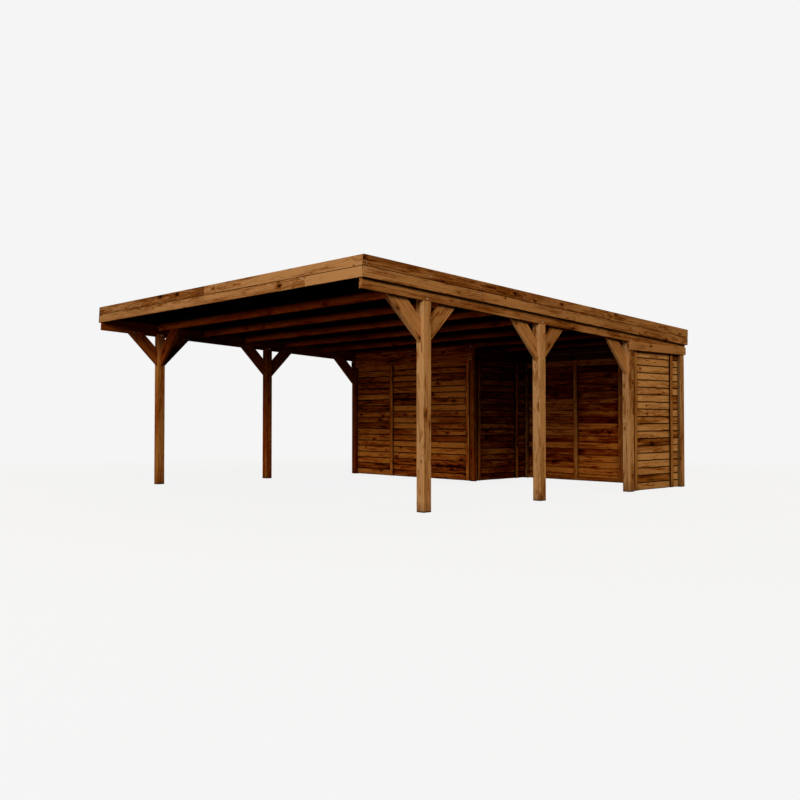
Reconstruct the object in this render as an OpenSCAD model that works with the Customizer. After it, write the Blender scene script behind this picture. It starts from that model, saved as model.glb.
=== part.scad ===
// Double carport with a flat falling roof, a boarded store at the back left
// and an open nook at the back right. Sawn, pressure treated softwood.
// Origin: on the ground, under the middle of the roof.
// X runs across the width, Y from the car entry to the back, Z up.

/* [Plan] */
// Width over the outer faces of the side posts
frame_w = 6270; // [4500:10:7000]
// Front post to middle post, front face to front face
front_bay = 2140; // [1500:10:2600]
// Middle post to store post, front face to front face
middle_bay = 2120; // [1500:10:2600]
// Store post to back post, front face to front face
back_bay = 1455; // [1200:5:2400]
// Middle line of the width to the middle line of the two inner posts
inner_post_shift = 20; // [0:1:300]

/* [Posts] */
// Side of the square posts
post_size = 120; // [100:1:160]
// Width of the two inner posts
inner_post_w = 95; // [70:1:120]
// Depth of the inner post in the store's front corner
inner_post_d = 75; // [60:1:100]
// Height of the beam seat at the front face of the front posts
seat_h = 2422; // [2300:1:2800]
// Height of the post tongue that laps behind the beam
post_lap = 45; // [30:1:90]

/* [Roof timbers] */
// Fall of the roof towards the back, in degrees
roof_fall = 2.9; // [1:0.1:4]
// Thickness of beams, rafters and braces
timber_t = 45; // [35:1:60]
// Height of the side beams
beam_h = 195; // [145:1:245]
// Height of the rafters
rafter_h = 195; // [145:1:245]
// Height of the notch that seats a rafter over the beam
rafter_seat = 95; // [40:1:120]
// Depth of the two trimmers behind the front and back fascia
trimmer_h = 145; // [120:1:190]
// Rafters from the front posts to the store posts
front_rafters = 6; // [4:1:8]
// Front posts to the ends of the beams, along the roof
front_overhang = 942; // [300:1:1200]
// Back posts to the ends of the beams, along the roof
back_overhang = 25; // [10:1:300]

/* [Braces] */
// Width of a brace board
brace_w = 195; // [120:1:220]
// Beam underside to the tip of the brace on the post
brace_drop = 485; // [440:1:700]
// Lap of a brace on the inner face of the beam
brace_lap = 45; // [20:1:90]

/* [Roof skin] */
// Thickness of the roof boards
deck_t = 19; // [15:1:28]
// Thickness of the roofing felt
felt_t = 4; // [2:1:10]
// Height that the felt turns up behind the fascia
felt_upstand = 30; // [10:1:40]

/* [Fascia] */
// Thickness of fascia and header boards
fascia_t = 20; // [16:1:30]
// Height of one fascia board
fascia_board_h = 121; // [95:1:145]
// Gap between the upper and the lower fascia board
fascia_gap = 4; // [0:1:10]
// Beam underside to the underside of the fascia
fascia_rise = 117; // [100:1:170]
// Beam to the fascia, where the rafter ends run through
side_overhang = 21; // [10:1:120]
// Height of the lip that laps behind the next board up, in fascias and headers
lip_h = 10; // [4:1:20]
// Thickness of the lip
lip_t = 8; // [5:1:12]
// Play between a lip and its rebate
lip_play = 1; // [0.5:0.1:1.5]

/* [Walls] */
// Ground to the lowest board
wall_foot = 5; // [2:1:60]
// Lap of the walls behind the header boards
wall_lap = 12; // [5:1:60]
// Height of one course of boards, before the courses are evened out
course_h = 110; // [90:1:150]
// Thickness of the wall boards
board_t = 19; // [16:1:28]
// Depth of the groove between two courses
groove_d = 5; // [2:1:8]
// Width of the battens, stiles and rails
batten_w = 70; // [50:1:110]
// Thickness of the outer battens
batten_t = 20; // [16:1:28]
// Thickness of the stiles and rails inside
stile_t = 28; // [20:1:30]
// Spacing of the battens on the front wall
front_pitch = 968; // [600:2:1200]
// Spacing of the battens on the side walls
side_pitch = 1022; // [600:2:1050]
// Spacing of the battens on the back walls
back_pitch = 905; // [600:5:1200]
// Post to the first batten of the front wall
front_margin = 20; // [5:1:90]
// Post to the first batten of the side walls
side_margin = 49; // [5:1:90]
// Post to the first batten of the back walls
back_margin = 60; // [5:1:90]
// Top rail to the top of the boards
rail_margin = 20; // [0:1:60]

/* [Headers] */
// Beam underside at the store posts to the underside of the headers
header_drop = 123; // [60:1:180]
// Height of one header board
header_h = 120; // [95:1:125]
// Gap between two header boards
header_gap = 3; // [0:1:10]
// Lap of the store's front header on the face of the inner post
header_lap = 62; // [30:1:70]

/* [Hidden] */

// Colours of the timber, as they read in daylight
post_colour = [0.62, 0.44, 0.27];
beam_colour = [0.56, 0.38, 0.20];
rafter_colour = [0.47, 0.29, 0.14];
fascia_colour = [0.58, 0.40, 0.22];
board_colour = [0.50, 0.32, 0.16];
felt_colour = [0.16, 0.16, 0.17];

// Length that reaches past every piece, for cutting tools
beyond = frame_w + front_bay + middle_bay + back_bay;

// Y of the front face of each row of posts, counted from the front row
store_row = front_bay + middle_bay;
back_row = store_row + back_bay;

// Roof lengths, along the slope from the front face of the front posts
function along(y) = y / cos(roof_fall);
run_start = -front_overhang;
run_end = along(back_row + post_size) + back_overhang;
rafter_low = beam_h - rafter_seat;
rafter_top = rafter_low + rafter_h;
fascia_top = fascia_rise + 2 * fascia_board_h + fascia_gap;

// Box of the roof, which sets the origin under its middle
reach_front = (run_start - fascia_t) * cos(roof_fall) + fascia_rise * sin(roof_fall);
reach_back = (run_end + fascia_t) * cos(roof_fall) + fascia_top * sin(roof_fall);
front_y = -(reach_front + reach_back) / 2;
half_w = frame_w / 2;
roof_half_w = half_w + side_overhang;
post_x = half_w - post_size / 2;
beam_inner_x = half_w - timber_t;

// Centres of the rafters along the roof
store_rafter = along(store_row + post_size / 2);
rafter_step = (store_rafter - post_size / 2) / (front_rafters - 1);
back_trimmer = run_end - timber_t / 2;
function rafter_run(i) = i < front_rafters ? post_size / 2 + i * rafter_step
    : (store_rafter + back_trimmer) / 2;

// Walls and the level headers over them
header_z = seat_h - store_row * tan(roof_fall) - header_drop;
wall_h = header_z + wall_lap - wall_foot;
wall_courses = round(wall_h / course_h);
course = wall_h / wall_courses;

// The battens stand back from the posts by the thickness of a header board
wall_recess = fascia_t;

// Places what belongs to the roof: Y along the slope, Z square to it
module on_roof() {
    translate([0, front_y, seat_h]) rotate([-roof_fall, 0, 0]) children();
}

// Everything below a plane that lies the given height over the beam underside
module below_roof(height) {
    on_roof()
        translate([-beyond / 2, -beyond / 2, height - beyond])
            cube([beyond, beyond * 2, beyond]);
}

// A timber along X, lying on the roof slope
module cross_timber(run, low, high, half_len) {
    translate([-half_len, run - timber_t / 2, low])
        cube([2 * half_len, timber_t, high - low]);
}

// A side post with its outer part cut away for the beam
module side_post(side, row_y) {
    color(post_colour)
    difference() {
        intersection() {
            translate([side * post_x - post_size / 2, front_y + row_y, 0])
                cube([post_size, post_size, seat_h + beam_h]);
            below_roof(post_lap);
        }
        on_roof()
            translate([side * (half_w + beyond / 2 - timber_t) - beyond / 2, 0, 0])
                translate([0, -beyond / 2, 0])
                    cube([beyond, beyond * 2, beam_h]);
    }
}

// A post inside the width that carries a cross timber on its cut top.
// It stands back from its row by the thickness of a header board.
module inner_post(row_y, depth, top) {
    color(post_colour)
    intersection() {
        translate([inner_post_shift - inner_post_w / 2, front_y + row_y + fascia_t, 0])
            cube([inner_post_w, depth, seat_h + rafter_top]);
        below_roof(top);
    }
}

module beam(side) {
    color(beam_colour)
    on_roof()
        translate([side * (half_w - timber_t / 2) - timber_t / 2, run_start, 0])
            cube([timber_t, run_end - run_start, beam_h]);
}

// A rafter is notched at both ends and runs over the beams to the fascia
module rafter(run, low) {
    color(rafter_colour)
    on_roof() {
        cross_timber(run, low, rafter_top, beam_inner_x);
        cross_timber(run, beam_h, rafter_top, roof_half_w);
    }
}

// Outline of a brace: reach is measured from the post, height from the ground
module brace_outline(tip_z) {
    rise = brace_w * sqrt(2);
    polygon([
        [0, tip_z],
        [brace_drop * 2, tip_z + brace_drop * 2],
        [brace_drop * 2, tip_z + brace_drop * 2 + rise],
        [0, tip_z + rise]
    ]);
}

// A brace from a side post to its beam, forward (way -1) or backward (way 1)
module beam_brace(side, row_y, way) {
    face_y = row_y + (way > 0 ? post_size : 0);
    tip_z = seat_h - face_y * tan(roof_fall) - brace_drop;
    color(beam_colour)
    intersection() {
        translate([side * (beam_inner_x - timber_t / 2) - timber_t / 2, front_y + face_y, 0])
            mirror([0, way > 0 ? 0 : 1, 0])
                rotate([90, 0, 90])
                    linear_extrude(timber_t) brace_outline(tip_z);
        below_roof(brace_lap);
    }
}

// A brace from a front post to the first rafter
module rafter_brace(side) {
    color(beam_colour)
    intersection() {
        translate([side * (half_w - post_size), front_y + (post_size + timber_t) / 2, 0])
            mirror([side > 0 ? 1 : 0, 0, 0])
                rotate([90, 0, 0])
                    linear_extrude(timber_t) brace_outline(seat_h - brace_drop);
        below_roof(rafter_low);
    }
}

// Side view of a boarded wall: shiplap courses with a groove between them
module board_section() {
    grooves = [for (i = [1 : wall_courses - 1])
        each [[0, i * course - groove_d], [groove_d, i * course], [0, i * course + groove_d]]];
    polygon(concat([[0, 0]], grooves, [[0, wall_h], [board_t, wall_h], [board_t, 0]]));
}

// A wall from X = 0 to len, with its outer face towards -Y.
// Battens stand outside and stiles and rails inside, all fixed to the boards.
module wall(len, margin, pitch) {
    boards_y = wall_recess + batten_t;
    color(board_colour)
    translate([0, 0, wall_foot]) {
        translate([0, boards_y, 0])
            rotate([90, 0, 90]) linear_extrude(len) board_section();
        for (x = [margin : pitch : len - batten_w]) {
            translate([x, wall_recess, 0]) cube([batten_w, batten_t + groove_d, wall_h]);
            translate([x, boards_y + board_t, 0]) cube([batten_w, stile_t, wall_h]);
        }
        for (z = [0, wall_h - batten_w - rail_margin])
            translate([0, boards_y + board_t, z]) cube([len, stile_t, batten_w]);
    }
}

// Side view of a rebated board, its face on Y = 0. A lip at its back rises
// behind the next board up, and a rebate takes the lip of the board below.
module rebated_section(board_h, gap, has_lip, has_rebate) {
    difference() {
        union() {
            square([fascia_t, board_h]);
            if (has_lip) translate([fascia_t - lip_t, 0]) square([lip_t, board_h + gap + lip_h]);
        }
        if (has_rebate)
            translate([fascia_t - lip_t - lip_play, -lip_play])
                square([lip_t + 2 * lip_play, lip_h + 2 * lip_play]);
    }
}

// Rebated boards one over the other, from X = 0 to len, their faces on Y = 0
module rebated_boards(len, board_h, gap, count) {
    for (i = [0 : count - 1])
        translate([0, 0, i * (board_h + gap)])
            rotate([90, 0, 90])
                linear_extrude(len) rebated_section(board_h, gap, i < count - 1, i > 0);
}

// Header boards in a row from X = 0 to len, their backs on Y = 0
module header(len, boards) {
    color(fascia_colour)
    translate([0, -fascia_t, header_z]) rebated_boards(len, header_h, header_gap, boards);
}

// Two fascia boards along X, one over the other, their faces on Y = 0
module fascia_pair(len) {
    color(fascia_colour)
    translate([0, 0, fascia_rise]) rebated_boards(len, fascia_board_h, fascia_gap, 2);
}

module fascia_front() {
    on_roof() translate([-roof_half_w, run_start - fascia_t, 0]) fascia_pair(2 * roof_half_w);
}

module fascia_back() {
    on_roof()
        translate([-roof_half_w, run_end + fascia_t, 0])
            mirror([0, 1, 0]) fascia_pair(2 * roof_half_w);
}

module fascia_right() {
    on_roof()
        translate([roof_half_w + fascia_t, run_start - fascia_t, 0])
            rotate([0, 0, 90]) fascia_pair(run_end - run_start + 2 * fascia_t);
}

module fascia_left() {
    mirror([1, 0, 0]) fascia_right();
}

module roof_boards() {
    color(rafter_colour)
    on_roof()
        translate([-roof_half_w, run_start, rafter_top])
            cube([2 * roof_half_w, run_end - run_start, deck_t]);
}

module roof_felt() {
    color(felt_colour)
    on_roof()
        translate([-roof_half_w, run_start, rafter_top + deck_t])
            difference() {
                cube([2 * roof_half_w, run_end - run_start, felt_upstand]);
                translate([felt_t, felt_t, felt_t])
                    cube([2 * (roof_half_w - felt_t), run_end - run_start - 2 * felt_t, felt_upstand]);
            }
}

// Places of the walls
clear_x = half_w - post_size;
inner_left_x = inner_post_shift - inner_post_w / 2;
inner_right_x = inner_post_shift + inner_post_w / 2;
side_wall_y = front_y + store_row + post_size;
side_wall_len = back_bay - post_size;

module wall_store_front() {
    len = inner_left_x + clear_x;
    translate([inner_left_x, front_y + store_row, 0])
        mirror([1, 0, 0]) wall(len, front_margin, front_pitch);
}

module wall_store_inner() {
    translate([inner_right_x, front_y + store_row + fascia_t + inner_post_d, 0])
        rotate([0, 0, 90]) wall(back_bay - inner_post_d, side_margin, side_pitch);
}

module wall_nook_right() {
    translate([half_w, side_wall_y, 0]) rotate([0, 0, 90]) wall(side_wall_len, side_margin, side_pitch);
}

module wall_store_left() {
    mirror([1, 0, 0]) wall_nook_right();
}

module wall_nook_back() {
    translate([clear_x, front_y + back_row + post_size, 0])
        rotate([0, 0, 180]) wall(clear_x - inner_right_x, back_margin, back_pitch);
}

module wall_store_back() {
    translate([-clear_x, front_y + back_row + post_size, 0])
        mirror([0, 1, 0]) wall(clear_x + inner_left_x, back_margin, back_pitch);
}

module header_store_front() {
    translate([-clear_x, front_y + store_row + fascia_t, 0]) header(clear_x + inner_left_x + header_lap, 2);
}

module header_store_inner() {
    intersection() {
        translate([inner_right_x, front_y + store_row + fascia_t, 0])
            rotate([0, 0, 90]) header(back_bay + post_size - fascia_t, 2);
        below_roof(rafter_low);
    }
}

module header_right() {
    translate([half_w, front_y + store_row, 0])
        rotate([0, 0, 90]) header(back_bay + post_size + back_overhang, 1);
}

module header_left() {
    mirror([1, 0, 0]) header_right();
}

module header_back() {
    intersection() {
        translate([beam_inner_x, front_y + back_row + post_size, 0])
            rotate([0, 0, 180]) header(2 * beam_inner_x, 2);
        below_roof(rafter_top - trimmer_h);
    }
}

side_post(-1, 0);  // post_front_left
side_post(1, 0);  // post_front_right
side_post(-1, front_bay);  // post_middle_left
side_post(1, front_bay);  // post_middle_right
side_post(-1, store_row);  // post_store_left
side_post(1, store_row);  // post_store_right
inner_post(store_row, inner_post_d, rafter_low);  // post_store_inner
side_post(-1, back_row);  // post_back_left
side_post(1, back_row);  // post_back_right
union() {  // post_back_inner
    inner_post(back_row, post_size - fascia_t, rafter_top - trimmer_h);
}
beam(-1);  // beam_left
beam(1);  // beam_right
rafter(run_start + timber_t / 2, rafter_top - trimmer_h);  // trimmer_front
rafter(rafter_run(0), rafter_low);  // rafter_1
rafter(rafter_run(1), rafter_low);  // rafter_2
rafter(rafter_run(2), rafter_low);  // rafter_3
rafter(rafter_run(3), rafter_low);  // rafter_4
rafter(rafter_run(4), rafter_low);  // rafter_5
rafter(rafter_run(5), rafter_low);  // rafter_6
rafter(rafter_run(6), rafter_low);  // rafter_7
rafter(back_trimmer, rafter_top - trimmer_h);  // trimmer_back
union() {  // braces_front_left
    beam_brace(-1, 0, -1);
    beam_brace(-1, 0, 1);
    rafter_brace(-1);
}
union() {  // braces_front_right
    beam_brace(1, 0, -1);
    beam_brace(1, 0, 1);
    rafter_brace(1);
}
union() {  // braces_middle_left
    beam_brace(-1, front_bay, -1);
    beam_brace(-1, front_bay, 1);
}
union() {  // braces_middle_right
    beam_brace(1, front_bay, -1);
    beam_brace(1, front_bay, 1);
}
beam_brace(-1, store_row, -1);  // brace_store_left
beam_brace(1, store_row, -1);  // brace_store_right
fascia_front();
fascia_back();
fascia_left();
fascia_right();
roof_boards();
roof_felt();
wall_store_front();
wall_store_inner();
wall_store_left();
wall_store_back();
wall_nook_back();
wall_nook_right();
header_store_front();
header_store_inner();
header_left();
header_right();
header_back();
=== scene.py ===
"""Looks of a double timber carport with a boarded store and an open nook.

Metres, Z up, origin on the ground under the middle of the roof. X runs across the
width and Y from the car entry to the back. All timber is brown stained softwood.
"""

import math
import random

import bmesh
import bpy
from mathutils import Matrix, Vector, noise


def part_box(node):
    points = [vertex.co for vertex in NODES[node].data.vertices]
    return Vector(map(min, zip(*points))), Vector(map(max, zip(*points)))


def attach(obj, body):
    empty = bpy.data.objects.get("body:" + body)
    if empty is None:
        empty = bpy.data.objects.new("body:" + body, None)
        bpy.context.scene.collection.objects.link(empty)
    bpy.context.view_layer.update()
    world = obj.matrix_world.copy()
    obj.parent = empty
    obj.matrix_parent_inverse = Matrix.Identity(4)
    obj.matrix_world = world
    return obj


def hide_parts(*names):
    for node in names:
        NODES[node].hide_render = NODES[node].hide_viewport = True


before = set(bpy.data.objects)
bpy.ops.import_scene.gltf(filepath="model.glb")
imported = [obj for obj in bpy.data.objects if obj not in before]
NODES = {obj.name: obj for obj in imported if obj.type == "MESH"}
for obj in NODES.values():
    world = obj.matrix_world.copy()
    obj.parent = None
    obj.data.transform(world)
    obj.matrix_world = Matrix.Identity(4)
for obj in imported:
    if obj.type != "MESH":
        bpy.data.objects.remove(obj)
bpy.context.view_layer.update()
SEED = 11
dice = random.Random(SEED)

# Directions and the slope of the roof
EAST, NORTH, UP = (axis.copy() for axis in Matrix.Identity(3))
ROOF_FALL = math.radians(2.9)
ROOF_TURN = Matrix.Rotation(-ROOF_FALL, 3, "X")
ACROSS_ROOF, ALONG_ROOF, OFF_ROOF = (ROOF_TURN @ axis for axis in (EAST, NORTH, UP))

# Names of the frame's timbers
SIDES = (("left", -1.0), ("right", 1.0))
ROWS = ("front", "middle", "store", "back")
BRACES = (("braces_front", "front"), ("braces_middle", "middle"), ("brace_store", "store"))
ROOF_TIMBERS = ("trimmer_front", *(f"rafter_{i}" for i in range(1, 8)), "trimmer_back")

# Timber sizes
BATTEN_W = 0.070
BATTEN_T = 0.020
BOARD_T = 0.019
STILE_T = 0.028
COURSE_H = 0.110
RAIL_MARGIN = 0.020
DECK_BOARD_W = 0.140
FELT_SHEET_W = 1.0
FELT_LAP = 0.09
FELT_T = 0.003

# Edges, gaps and waves of the boards
ARRIS = 0.003
POST_ARRIS = 0.004
ARRIS_STEPS = 2
ARRIS_ROUND = 0.5
FELT_ARRIS = FELT_T / 4
BOARD_GAP = 0.0025
BOARD_CHAMFER = 0.0060
BACK_CHAMFER = 0.0045
END_GAP = 0.001
JOINT_GAP = 0.0012
EDGE_WAVE = 0.0045
WAVE_STEP = 0.09
WAVE_RATE = 5.0
WAVE_SEEDS = 90.0
WELD = 0.0002
FLAT_ANGLE = math.radians(1.0)
SHARP_ANGLE = math.radians(25)

# Painted shade and dirt, drawn as a near-black stain at seams, beside battens, on hidden faces and in shaded
# places
SEAM_SHADE = 0.006
SEAM_SHADE_AND_DIRT = 0.55
SHADE_AND_DIRT_REACH = (0.012, 0.075)
SHADE_AND_DIRT_CORE = 0.011
CORE_FADE = 0.55
END_SHADE_AND_DIRT = 0.016
LIP_SHADE_AND_DIRT = 0.5


# Measures

def corners(points):
    """Lowest and highest corner of some points."""
    low = Vector([min(p[i] for p in points) for i in range(3)])
    high = Vector([max(p[i] for p in points) for i in range(3)])
    return low, high


def roof_box(node):
    """Lowest and highest corner of a CAD node, measured along the axes of the roof."""
    back = ROOF_TURN.transposed()
    return corners([back @ vertex.co for vertex in NODES[node].data.vertices])


def middle_of(low, high, **places):
    """The middle of a box, with its x, y or z replaced where one is given."""
    middle = (low + high) / 2
    for axis, place in places.items():
        setattr(middle, axis, place)
    return middle


def face_of(box, axis, sign):
    """Where a face of a box lies along an axis: the high one, or the low one for a minus sign."""
    return box[1 if sign > 0 else 0][axis]


def lengths(start, end, joints, gap=JOINT_GAP):
    """Stretches from start to end that stop short of each joint by the gap."""
    stops = [start, *(joint + side * gap for joint in joints for side in (-1, 1)), end]
    return list(zip(stops[::2], stops[1::2]))


# The beam seat at the front face of the front posts, which roof measures start from
FRONT_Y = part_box("post_front_right")[0].y
SEAT_LEVEL = roof_box("beam_right")[0].z
SEAT_ALONG = (FRONT_Y - SEAT_LEVEL * math.sin(ROOF_FALL)) / math.cos(ROOF_FALL)


def seat_point(x, y, rise):
    """World place at a rise off the beam seat, its run along the roof worked out from a level y."""
    along = (y - FRONT_Y) / math.cos(ROOF_FALL)
    return ROOF_TURN @ Vector((x, SEAT_ALONG + along, SEAT_LEVEL + rise))


def new_object(name, data):
    """Adds an object to the scene."""
    added = bpy.data.objects.new(name, data)
    bpy.context.scene.collection.objects.link(added)
    return added


# Camera at the photograph's viewpoint

CAMERA_PLACE = (10.364, -9.692, 1.064)
CAMERA_PITCH = math.radians(91.2309)
CAMERA_TURN = math.radians(46.5544)
CAMERA_LENS = 40.367
CAMERA_SENSOR = 36.0


def make_camera():
    """The camera stands where the photograph was taken from, without shift."""
    data = bpy.data.cameras.new("camera")
    data.lens = CAMERA_LENS
    data.sensor_width = CAMERA_SENSOR
    camera = new_object("camera", data)
    camera.location = CAMERA_PLACE
    camera.rotation_euler = (CAMERA_PITCH, 0.0, CAMERA_TURN)
    bpy.context.scene.camera = camera


# Node building

VECTOR, VALUE, COLOUR = "NodeSocketVector", "NodeSocketFloat", "NodeSocketColor"
WHITE = (1.0, 1.0, 1.0, 1.0)


def feed(tree, node, sources):
    """Joins each named or numbered input to a socket, or writes a plain value on it."""
    for key, source in sources.items():
        if isinstance(source, bpy.types.NodeSocket):
            tree.links.new(source, node.inputs[key])
        else:
            node.inputs[key].default_value = source


def new_node(tree, kind, sources=None, **settings):
    """Adds a node, sets its properties and then feeds its inputs."""
    node = tree.nodes.new(kind)
    for name, value in settings.items():
        setattr(node, name, value)
    feed(tree, node, sources or {})
    return node


def maths(tree, operation, *sources, clamp=False):
    """A Math node with its inputs fed in order."""
    node = new_node(tree, "ShaderNodeMath", dict(enumerate(sources)), operation=operation, use_clamp=clamp)
    return node.outputs[0]


def vectors(tree, operation, *sources):
    """A Vector Math node with its inputs fed in order."""
    node = new_node(tree, "ShaderNodeVectorMath", dict(enumerate(sources)), operation=operation)
    return node.outputs["Value" if operation == "LENGTH" else "Vector"]


def ramp(tree, source, low, high, smooth=True):
    """Maps a value from low..high to 0..1, also downwards where low is above high."""
    reverse = low > high
    node = new_node(tree, "ShaderNodeMapRange", {
        "Value": source, "From Min": min(low, high), "From Max": max(low, high),
        "To Min": float(reverse), "To Max": float(not reverse),
    }, interpolation_type="SMOOTHSTEP" if smooth else "LINEAR")
    return node.outputs["Result"]


def blend(tree, factor, first, second):
    """Mixes two colours."""
    node = new_node(tree, "ShaderNodeMix", {"Factor": factor, 6: first, 7: second}, data_type="RGBA")
    return node.outputs[2]


def cloud(tree, place, scale, detail, roughness=0.5, output="Fac"):
    """A noise texture, as a value or a colour."""
    node = new_node(tree, "ShaderNodeTexNoise", {
        "Vector": place, "Scale": scale, "Detail": detail, "Roughness": roughness})
    return node.outputs[output]


def stretched(tree, grain, along, across, detail, roughness):
    """Noise that is drawn out along the grain."""
    place = vectors(tree, "MULTIPLY", grain, (along, across, across))
    return cloud(tree, place, 1.0, detail, roughness)


def position(tree):
    """The place of the shaded point in the world."""
    return new_node(tree, "ShaderNodeNewGeometry").outputs["Position"]


def relief(tree, height, strength, depth):
    """Relief of a surface, for its Normal."""
    node = new_node(tree, "ShaderNodeBump", {"Height": height, "Strength": strength, "Distance": depth})
    return node.outputs["Normal"]


def new_group(name, takes, gives):
    """An empty node group with its named sockets, and its two ends."""
    tree = bpy.data.node_groups.new(name, "ShaderNodeTree")
    for way, sockets in (("INPUT", takes), ("OUTPUT", gives)):
        for socket, kind in sockets.items():
            tree.interface.new_socket(name=socket, in_out=way, socket_type=kind)
    return tree, new_node(tree, "NodeGroupInput").outputs, new_node(tree, "NodeGroupOutput")


def new_material(name):
    """A material with its node tree and its surface shader."""
    material = bpy.data.materials.new(name)
    material.use_nodes = True
    return material, material.node_tree, material.node_tree.nodes["Principled BSDF"]


def stain(red, green, blue):
    """A colour given as it looks on a screen, from 0 to 255, for a shader socket."""
    shares = [channel / 255 for channel in (red, green, blue)]
    return [*(s / 12.92 if s <= 0.04045 else ((s + 0.055) / 1.055) ** 2.4 for s in shares), 1.0]


# Softwood finish

# Noise of the figure: scale along and across the grain, detail and roughness
FIBRE = (3.0, 75.0, 3.0, 0.65)
STREAK = (0.9, 15.0, 3.0, 0.6)
PATCH = (1.4, 4.0, 2.0, 0.5)
LINE = (2.2, 38.0, 2.0, 0.5)
BLOTCH = (2.8, 17.0, 4.0, 0.7)
FLECK = (14.0, 48.0, 3.0, 0.6)
# Noise levels where the marks begin and where they are full
STREAK_RANGE = (0.3, 0.7)
LINE_RANGE = (0.52, 0.66)
BLOTCH_RANGE = (0.53, 0.64)
FLECK_RANGE = (0.5, 0.64)
FLECK_PATCH_RANGE = (0.62, 0.42)
# Shares of the marks in the tone, and what is taken off for the streaks and patches
PATCH_SHARE = 0.7
FIGURE_MIDDLE = 0.55
LINE_SHARE = 0.5
FLECK_SHARE = 0.35
FIBRE_SHARE = 0.22
HALO_SHARE = 0.45
MIDDLE_TONE = 0.5
# Growth rings, whose middle sways along the trunk
SWAY_SCALE = (0.8, 2.0, 2.0)
SWAY_DETAIL = 3.0
SWAY = (0.0, 0.18, 0.18)
RING_SPACING = 0.018
LATE_WOOD_POWER = 2.2
# Knots: cells in a metre, chance of a knot, spread and least of its radius, core and halo in radii
KNOT_CELLS_ALONG = 1.7
KNOT_CELLS_ROUND = 5.5
KNOT_SHORTENING = 0.5
KNOT_CHANCE = (0.5, 0.55)
KNOT_RADIUS = (0.015, 0.005)
KNOT_CORE = (1.2, 0.6)
KNOT_HALO = (3.6, 0.8)
KNOT_REACH = 0.07
KNOT_PUSH = 0.03
KNOT_STAIN = (30, 9, 1)
# Near-black colour of the painted shade and dirt
SHADE_AND_DIRT_COLOUR = (12, 3, 0)
# Relief, roughness as spread and least, and gloss
FIBRE_RELIEF = 0.6
RING_RELIEF = 0.4
KNOT_RELIEF = 0.4
RELIEF_STRENGTH = 0.45
RELIEF_DEPTH = 0.0015
TIMBER_ROUGHNESS = (0.2, 0.7)
TIMBER_SHINE = 0.0
# Damp at the ground
DAMP_NOISE = (9.0, 3.0)
DAMP_RANGE = (1.3, 0.35)
DAMP_REACH = 0.22
DAMP_STAIN = (40, 16, 4)
# Darker at the foot: fully below the second height, fading out by the first
FOOT_EDGE = (0.022, 0.008)


def draw_knots(tree, grain):
    """Cores and halos of knots, and how far they push the rings aside.

    Knots run through a board, so they are laid out on its length and its girth.
    """
    run, across, through = new_node(tree, "ShaderNodeSeparateXYZ", {0: grain}).outputs
    cells = new_node(tree, "ShaderNodeCombineXYZ", {
        0: maths(tree, "MULTIPLY", run, KNOT_CELLS_ALONG),
        1: maths(tree, "MULTIPLY", maths(tree, "ADD", across, through), KNOT_CELLS_ROUND),
    }).outputs[0]
    spots = new_node(tree, "ShaderNodeTexVoronoi", {"Vector": cells, "Scale": 1.0}, voronoi_dimensions="2D")
    offset = vectors(tree, "SUBTRACT", cells, spots.outputs["Position"])
    true_size = (KNOT_SHORTENING / KNOT_CELLS_ALONG, 1.0 / KNOT_CELLS_ROUND, 0.0)
    distance = vectors(tree, "LENGTH", vectors(tree, "MULTIPLY", offset, true_size))
    luck = new_node(tree, "ShaderNodeSeparateColor", {0: spots.outputs["Color"]}).outputs
    chosen = ramp(tree, luck[0], *KNOT_CHANCE)
    ratio = maths(tree, "DIVIDE", distance, maths(tree, "MULTIPLY_ADD", luck[1], *KNOT_RADIUS))
    return [maths(tree, "MULTIPLY", ramp(tree, source, *limits), chosen)
            for source, limits in ((ratio, KNOT_CORE), (ratio, KNOT_HALO), (distance, (KNOT_REACH, 0.0)))]


def draw_late_wood(tree, grain, push):
    """Dark late wood of the rings. The trunk's axis wanders, which draws arches on a flat face."""
    sway = cloud(tree, vectors(tree, "MULTIPLY", grain, SWAY_SCALE), 1.0, SWAY_DETAIL, output="Color")
    sway = vectors(tree, "MULTIPLY", vectors(tree, "SUBTRACT", sway, (0.5, 0.5, 0.5)), SWAY)
    trunk = vectors(tree, "MULTIPLY", vectors(tree, "ADD", grain, sway), (0.0, 1.0, 1.0))
    radius = maths(tree, "MULTIPLY_ADD", push, KNOT_PUSH, vectors(tree, "LENGTH", trunk))
    ring = maths(tree, "FRACT", maths(tree, "MULTIPLY", radius, 1 / RING_SPACING))
    return maths(tree, "POWER", ring, LATE_WOOD_POWER)


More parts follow.
